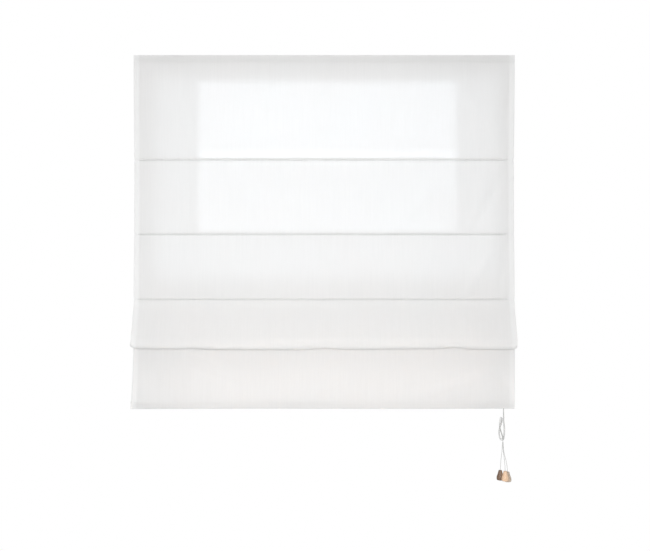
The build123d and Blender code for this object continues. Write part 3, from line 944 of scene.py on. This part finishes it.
# %% Skins swept along a row of outlines
def swept(outlines):
    """Points, faces and map of a closed skin through equal outlines, with flat ends."""
    outlines = np.asarray(outlines)
    rows, columns = outlines.shape[:2]
    faces = grid_faces(rows, columns, closed=True)
    faces.append(tuple(range(columns))[::-1])
    faces.append(tuple(range((rows - 1) * columns, rows * columns)))
    u, v = np.meshgrid(run_along(outlines[:, 0]), run_along(outlines[0]), indexing="ij")
    return outlines.reshape(-1, 3), faces, np.stack([u, v], -1).reshape(-1, 2)


def closed_piece(name, outlines, material=None):
    """A piece swept along outlines, with every face turned to look out."""
    piece = make_piece(name, *swept(outlines), material)
    shell = bmesh.new()
    shell.from_mesh(piece.data)
    bmesh.ops.recalc_face_normals(shell, faces=shell.faces)
    shell.to_mesh(piece.data)
    shell.free()
    return piece


def drop_outline(centre, tip, radius, count=20):
    """A round loop about a centre, drawn to a point at the tip."""
    away = tip - centre
    open_half = math.acos(radius / np.linalg.norm(away))
    angles = math.atan2(away[1], away[0]) + np.linspace(open_half, 2 * math.pi - open_half, count)
    arc = centre + radius * np.stack([np.cos(angles), np.sin(angles)], 1)
    return np.concatenate([[tip], arc, [tip]])

# %% Pockets
POCKET_RADIUS = 0.0035
POCKET_CLOTH = 0.0006
POCKET_STEPS = 190
POCKET_WAVE, POCKET_WAVE_SIZE = 0.00014, 0.02
POCKET_OVERHANG = 0.002
for number in rods:
    centre = np.array([rods[number].y, rods[number].z])
    tip = np.array([plane_y + SEAM_DIP + POCKET_CLOTH, seam_z[number]])
    if number == ROD_COUNT:
        tip = np.array(fold_seam)
    inner_tip = tip + 2 * POCKET_CLOTH * unit(centre - tip)
    outlines = []
    for x in np.linspace(rod_left - POCKET_OVERHANG, rod_right + POCKET_OVERHANG, POCKET_STEPS):
        loose = POCKET_RADIUS + POCKET_WAVE * float(soft_noise(x, 0.0, POCKET_WAVE_SIZE, 1, seed=61 + number))
        outer = drop_outline(centre, tip, loose)
        inner = drop_outline(centre, inner_tip, loose - POCKET_CLOTH)
        around = np.concatenate([outer, inner[::-1]])
        outlines.append(np.column_stack([np.full(len(around), x), around]))
    pocket = closed_piece(f"rod_pocket_{number}", outlines, lining)
    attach(pocket, f"rod_{number}")

# %% [markdown]
# ## Stitches and ring threads
# A row of stitches is one small shape repeated along a path, which is what a node tree
# is for. The tree puts a shape on each point, turns it along the row, shakes it a
# little from a fixed seed and makes it real. The points come from the same function
# that made the cloth, so each stitch lies in its own dent.

# %% Node tree that repeats a shape on points
SHAKE_SEED = 7


def repeat_tree(name, add_shape):
    """A tree that puts a shape on every point and turns it along the point's heading."""
    tree = bpy.data.node_groups.new(name, "GeometryNodeTree")
    kinds = {"Points": "Geometry", "Size": "Vector", "Shake": "Float", "Finish": "Material"}
    for socket, kind in kinds.items():
        tree.interface.new_socket(socket, in_out="INPUT", socket_type=f"NodeSocket{kind}")
    tree.interface.new_socket("Result", in_out="OUTPUT", socket_type="NodeSocketGeometry")
    given = node(tree, "NodeGroupInput").outputs
    shake = node(tree, "FunctionNodeRandomValue", {"Seed": SHAKE_SEED}, data_type="FLOAT_VECTOR")
    tree.links.new(maths(tree, "MULTIPLY", given["Shake"], -1.0), shake.inputs[0])
    tree.links.new(given["Shake"], shake.inputs[1])
    heading = node(tree, "GeometryNodeInputNamedAttribute", {"Name": "heading"}, data_type="FLOAT_VECTOR")
    shaken = node(tree, "ShaderNodeVectorMath", {0: heading.outputs[0], 1: shake.outputs[0]}, operation="ADD")
    turned = node(tree, "FunctionNodeAlignRotationToVector", {"Vector": shaken.outputs[0]}, axis="Z")
    places = node(tree, "GeometryNodeMeshToPoints", {"Mesh": given["Points"]})
    put = node(tree, "GeometryNodeInstanceOnPoints",
               {"Points": places.outputs[0], "Instance": add_shape(tree), "Rotation": turned.outputs[0],
                "Scale": given["Size"]})
    real = node(tree, "GeometryNodeRealizeInstances", {"Geometry": put.outputs[0]}).outputs[0]
    dressed = node(tree, "GeometryNodeSetMaterial", {"Geometry": real, "Material": given["Finish"]})
    node(tree, "NodeGroupOutput", {"Result": dressed.outputs[0]})
    return tree


def bead_shape(tree):
    """One bulging stitch, before it is stretched."""
    return node(tree, "GeometryNodeMeshIcoSphere", {"Radius": 0.5, "Subdivisions": 1}).outputs[0]


def loop_shape(tree):
    """A thin closed loop of thread."""
    path, section = (node(tree, "GeometryNodeCurvePrimitiveCircle", {"Resolution": points, "Radius": radius})
                     for points, radius in ((10, 0.5), (4, 0.055)))
    return node(tree, "GeometryNodeCurveToMesh",
                {"Curve": path.outputs[0], "Profile Curve": section.outputs[0]}).outputs[0]


def repeated(name, tree, places, headings, size, shake, finish):
    """Run a repeating tree over places and keep the result as one plain mesh piece."""
    mesh = bpy.data.meshes.new(name)
    mesh.from_pydata(np.asarray(places).tolist(), [], [])
    layer = mesh.attributes.new("heading", "FLOAT_VECTOR", "POINT")
    layer.data.foreach_set("vector", np.asarray(headings, float).ravel())
    piece = add_object(name, mesh)
    modifier = piece.modifiers.new("repeat", "NODES")
    modifier.node_group = tree
    values = {"Size": size, "Shake": shake, "Finish": finish}
    for socket in tree.interface.items_tree:
        if socket.name in values:
            modifier[socket.identifier] = values[socket.name]
    shown = piece.evaluated_get(bpy.context.evaluated_depsgraph_get())
    made = bpy.data.meshes.new_from_object(shown)
    piece.modifiers.remove(modifier)
    piece.data = made
    made.shade_smooth()
    return piece


def thread_finish_for(name, dark, light, twist=0.00045):
    """Twisted thread: a fine slanted band along it."""
    material, tree, shader = blank_finish(name, Roughness=0.7, Sheen_Weight=0.1)
    place = node(tree, "ShaderNodeTexCoord").outputs["Object"]
    bands = node(tree, "ShaderNodeTexWave", {"Vector": place, "Scale": wave_scale(twist), "Distortion": 0.6},
                 bands_direction="DIAGONAL").outputs["Fac"]
    dress(tree, shader, mixed_colour(tree, bands, dark, light), bands, 0.4, 0.00005)
    return material


thread_finish = thread_finish_for("sewing_thread", (0.76, 0.76, 0.75), (0.90, 0.90, 0.89))

# %% Rows of stitches on the cloth
STITCH_PITCH = 0.003
STITCH_SIZE = (0.00042, 0.00042, 0.0024)
STITCH_SHAKE = 0.0006
ROW_START, ROW_END = 0.004, 0.003
stitch_tree = repeat_tree("stitch_rows", bead_shape)


def stitch_row(name, x, s, face):
    """Places and headings of stitches along a row on a strip's front or back."""
    x, s = np.broadcast_arrays(np.asarray(x, float), np.asarray(s, float))
    place = cloth_place(name, x, s, face)
    return place, np.gradient(place, axis=0)


inside = np.arange(left_edge + SIDE_HEM, right_edge - SIDE_HEM, STITCH_PITCH)
cross_rows = {"panel_1": [(inside, TOP_STITCHES)], "flap": [(inside, hem_row)]}
for name, (line, along) in sections.items():
    down = np.arange(ROW_START, (flap_drop if name == "flap" else along[-1]) - ROW_END, STITCH_PITCH)
    rows = [(left_edge + SIDE_STITCHES, down), (right_edge - SIDE_STITCHES, down), *cross_rows.get(name, [])]
    made = [stitch_row(name, x, s, face) for x, s in rows for face in (1, -1)]
    places, headings = (np.concatenate([row[i] for row in made]) for i in (0, 1))
    row_name = f"stitches_{name}"
    piece = repeated(row_name, stitch_tree, places, headings, STITCH_SIZE, STITCH_SHAKE, thread_finish)
    carry(piece, name)
    print(f"{piece.name}: {len(places)} stitches, {len(piece.data.polygons)} faces")

# %% [markdown]
# Small rings are sewn to the back of each pocket with a few turns of thread, and the
# lift cords run through them.

# %% Threads that hold the rings
RING_TURNS = (-0.0011, -0.0004, 0.0003, 0.0010)
TURN_SIZE = (0.0036, 0.0046, 0.0046)
TURN_SHAKE = 0.12
TURN_SETBACK = 0.0002
turn_tree = repeat_tree("ring_turns", loop_shape)
for number in rods:
    places = [(x + aside, ring_low.y - TURN_SETBACK, rods[number].z)
              for x in ring_places for aside in RING_TURNS]
    headings = [(1.0, 0.0, 0.0)] * len(places)
    name = f"ring_threads_{number}"
    turns = repeated(name, turn_tree, places, headings, TURN_SIZE, TURN_SHAKE, thread_finish)
    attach(turns, f"rod_{number}")
print("ring threads:", len(rods) * len(ring_places) * len(RING_TURNS), "turns")

# %% [markdown]
# ## Touch tape
# The cloth hangs from the head rail by touch tape, so it can be taken down and washed.
# One half is stuck on the rail and the other sewn behind the cloth's top. Both are
# woven ribbons with a thicker edge on each side, and the skin is swept along the rail.

# %% Woven tapes
TAPE_STEPS, TAPE_ROWS = 160, 13
TAPE_MIDDLE = 0.74
TAPE_RIM = 0.45
TAPE_RIPPLE, RIPPLE_SIZE = 0.00006, (0.004, 0.02)
TAPE_WIDTH = 0.022


def tape_finish_for(name, dark, light):
    """A ribbon full of tiny loops or hooks."""
    material, tree, shader = blank_finish(name, Roughness=0.85, Sheen_Weight=0.3)
    place = node(tree, "ShaderNodeTexCoord").outputs["Object"]
    tufts = node(tree, "ShaderNodeTexVoronoi", {"Vector": place, "Scale": 900}).outputs["Distance"]
    dress(tree, shader, mixed_colour(tree, tufts, light, dark), tufts, 0.8, 0.0004)
    return material


tape_finish = tape_finish_for("touch_tape_pile", (0.42, 0.42, 0.41), (0.72, 0.72, 0.71))
up = np.linspace(0, 1, TAPE_ROWS)
thick_edges = np.maximum(1 - ease(up, 0.04, 0.16), ease(up, 0.84, 0.96))
for node_name in ("hook_tape", "loop_tape"):
    low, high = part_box(node_name)
    middle_y, half_y = (low.y + high.y) / 2, (high.y - low.y) / 2
    swell = half_y * (TAPE_MIDDLE + (1 - TAPE_MIDDLE) * thick_edges)
    swell[[0, -1]] *= TAPE_RIM
    heights = low.z + up * (high.z - low.z)
    outlines = []
    for x in np.linspace(low.x, high.x, TAPE_STEPS):
        ripple = TAPE_RIPPLE * soft_noise(up * TAPE_WIDTH, x, *RIPPLE_SIZE, seed=71)
        front_side = np.column_stack([np.full(TAPE_ROWS, x), middle_y - swell - ripple, heights])
        back_side = np.column_stack([np.full(TAPE_ROWS, x), middle_y + swell, heights])
        outlines.append(np.concatenate([front_side, back_side[::-1]]))
    tape = closed_piece(f"{node_name}_woven", outlines, tape_finish)
    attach(tape, "root")
    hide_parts(node_name)
print("tapes woven")

# %% [markdown]
# ## One sheet, in five strips
# Real cloth would be laid as one sheet. Here it is five strips, each named after its
# place and with its own rows of stitches.

# %% [markdown]
# ## The lock's roller
# The cord lock grips with a loose brass roller that drops against the cords. It is
# knurled, cut with two crossing sets of grooves, so that it bites without slipping.

# %% Knurled roller
TRUNNION_RADIUS = 0.0012
TRUNNION_ROUND = 0.0002
DRUM_HALF = 0.0053
DRUM_ROUND = 0.0004
DRUM_ROWS = 34
KNURL_DEPTH = 0.00022
KNURLS = 26
SHARP_ANGLE = 35
low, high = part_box("lock_roller")
centre = (low + high) / 2
roller_radius, trunnion = (high.x - low.x) / 2, (high.y - low.y) / 2
end = [(-trunnion, TRUNNION_RADIUS - TRUNNION_ROUND), (-trunnion + TRUNNION_ROUND, TRUNNION_RADIUS),
       (-DRUM_HALF, TRUNNION_RADIUS), (-DRUM_HALF, roller_radius - DRUM_ROUND)]
drum = np.linspace(-DRUM_HALF + DRUM_ROUND, DRUM_HALF - DRUM_ROUND, DRUM_ROWS)
stations = end + [(y, roller_radius) for y in drum] + [(-y, r) for y, r in end[::-1]]
turn = np.linspace(0, 2 * math.pi, 6 * KNURLS, endpoint=False)
outlines = []
for y, radius in stations:
    cut = 0.0
    if radius == roller_radius:
        lead = y / roller_radius
        grooves = [abs(np.sin(KNURLS / 2 * (turn + way * lead))) for way in (1, -1)]
        cut = KNURL_DEPTH * np.maximum(*grooves)
    across_x, up_z = (radius - cut) * np.cos(turn), (radius - cut) * np.sin(turn)
    outlines.append(np.column_stack([centre.x + across_x, np.full(len(turn), centre.y + y), centre.z + up_z]))
roller = closed_piece("lock_roller_knurled", outlines)
roller.data.set_sharp_from_angle(angle=math.radians(SHARP_ANGLE))
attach(roller, "roller")
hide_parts("lock_roller")
print("roller:", len(roller.data.polygons), "faces")

# %% [markdown]
# ## Finishes of the hard parts
# The rail, brackets, caps, rods, rings and bar keep their CAD shapes and get finishes of
# their own. Drawn metal has fine lines along it, moulded plastic a faint grain, and
# rubbed edges or dull patches come from a slow noise. All of them are read from each
# object's own coordinates in metres.

# %% Metal and plastic
ALONG = (0.03, 1, 1)
UPRIGHT = (1, 1, 0.1)


def hard_finish(name, dark, light, metal, rough, grain, stretch=(1, 1, 1), **extra):
    """A hard surface: fine grain, stretched if drawn or brushed, over slow dull patches."""
    material, tree, shader = blank_finish(name, Metallic=metal, **extra)
    place = node(tree, "ShaderNodeTexCoord").outputs["Object"]
    fine = noise(tree, place, grain, 4, stretch)
    slow = noise(tree, place, 28, 3)
    colour = mixed_colour(tree, maths(tree, "MULTIPLY", fine, slow), dark, light)
    dulled = node(tree, "ShaderNodeMapRange", {"Value": slow, "To Min": rough - 0.08, "To Max": rough + 0.12})
    tree.links.new(dulled.outputs[0], shader.inputs["Roughness"])
    dress(tree, shader, colour, fine, 0.25, 0.0001)
    return material


# For each slot: name, darkest and lightest colour, how metallic, roughness, grain, its stretch
FINISHES = {
    "rail_aluminium": ("rail_coated", (0.70, 0.70, 0.69), (0.93, 0.93, 0.92), 0.15, 0.38, 1400, ALONG),
    "bar_aluminium": ("bar_drawn", (0.52, 0.53, 0.54), (0.90, 0.90, 0.91), 1.0, 0.34, 1600, ALONG),
    "white_plastic": ("plastic_white", (0.72, 0.72, 0.70), (0.93, 0.93, 0.91), 0.0, 0.40, 2200),
    "bracket_steel": ("steel_plated", (0.36, 0.37, 0.38), (0.86, 0.86, 0.88), 1.0, 0.32, 900, UPRIGHT),
    "glass_fibre": ("fibre_rod", (0.62, 0.66, 0.58), (0.93, 0.95, 0.88), 0.0, 0.36, 2600, ALONG),
}
finishes = {slot: hard_finish(*values) for slot, values in FINISHES.items()}
finishes["clear_rings"] = hard_finish("ring_clear", (0.86, 0.87, 0.87), (1.0, 1.0, 1.0), 0.0, 0.16, 700,
                                      Transmission_Weight=0.9, IOR=1.49)
brass = hard_finish("brass_turned", (0.42, 0.27, 0.09), (0.86, 0.65, 0.30), 1.0, 0.30, 1500)
roller.data.materials.append(brass)
dressed = 0
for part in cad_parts.values():
    for slot in part.material_slots:
        kind = slot.material.name.split(".")[0] if slot.material else ""
        if kind in finishes:
            slot.material = finishes[kind]
            dressed += 1
print("hard parts dressed:", dressed)

# %% [markdown]
# ## Turned wood
# The three acorns are turned wood, and their tones are painted light and shade: one
# dark, as if in shadow, with a paler side, one pale and warm, one greyish. Wood turned
# along its grain shows long fine lines down the sides and rings at its ends. So the finish
# bends a wave round the acorn's axis and stretches its pores along it.

# %% Wood for the acorns
RING_PERIOD = 0.0019
HEART = (0.004, 0.006, 0)
PAINTED_SHADE_WIDTH = 0.006


def wood_and_painted_shade_finish(name, shade, base, pale, lit_from, axis):
    """Grain round an upright axis, with painted shade: darker on one side, lighter towards the other."""
    material, tree, shader = blank_finish(name, Roughness=0.46, Coat_Weight=0.12, Coat_Roughness=0.3)
    place = node(tree, "ShaderNodeTexCoord").outputs["Object"]
    centred = node(tree, "ShaderNodeMapping", {"Vector": place, "Location": -axis}).outputs[0]
    leaning = node(tree, "ShaderNodeMapping", {"Vector": centred, "Location": HEART, "Scale": (1, 1, 0.05)})
    growth = node(tree, "ShaderNodeTexWave",
                  {"Vector": leaning.outputs[0], "Scale": wave_scale(RING_PERIOD), "Distortion": 2.0,
                   "Detail": 2.0, "Detail Scale": 1.0},
                  wave_type="RINGS", rings_direction="Z")
    pores = noise(tree, centred, 2600, 3, (1, 1, 0.02))
    # Painted light and shade: the colour turns lighter towards the acorn's right side, as if lit from there.
    side = node(tree, "ShaderNodeSeparateXYZ", {"Vector": centred}).outputs["X"]
    painted_light_share = node(tree, "ShaderNodeMapRange",
                 {"Value": side, "From Min": lit_from, "From Max": lit_from + PAINTED_SHADE_WIDTH})
    wood = mixed_colour(tree, painted_light_share.outputs[0], base, pale)
    grain = maths(tree, "MULTIPLY", growth.outputs["Fac"], pores)
    dress(tree, shader, mixed_colour(tree, grain, wood, shade, "MULTIPLY"), pores, 0.3, 0.00012)
    return material


# For each acorn, with its tones painted as light and shade: shade of the rings, main colour (its painted
# shaded side), paler colour (its painted lit side), and where the paler side starts
WOODS_WITH_PAINTED_SHADE = {
    "left": ((0.62, 0.52, 0.45), (0.20, 0.125, 0.08), (0.62, 0.42, 0.28), 0.001),
    "middle": ((0.80, 0.70, 0.62), (0.80, 0.56, 0.38), (0.84, 0.62, 0.44), 0.0),
    "right": ((0.76, 0.72, 0.68), (0.60, 0.49, 0.39), (0.68, 0.57, 0.46), 0.002),
}
# Each acorn's tone is painted light and shade, and the left one is painted dark as if in shadow.
for side, colours in WOODS_WITH_PAINTED_SHADE.items():
    low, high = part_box(f"acorn_{side}")
    finish = wood_and_painted_shade_finish(f"acorn_wood_painted_shade_{side}", *colours, (low + high) / 2)
    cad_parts[f"acorn_{side}"].material_slots[0].material = finish
print("acorns finished:", len(WOODS_WITH_PAINTED_SHADE))
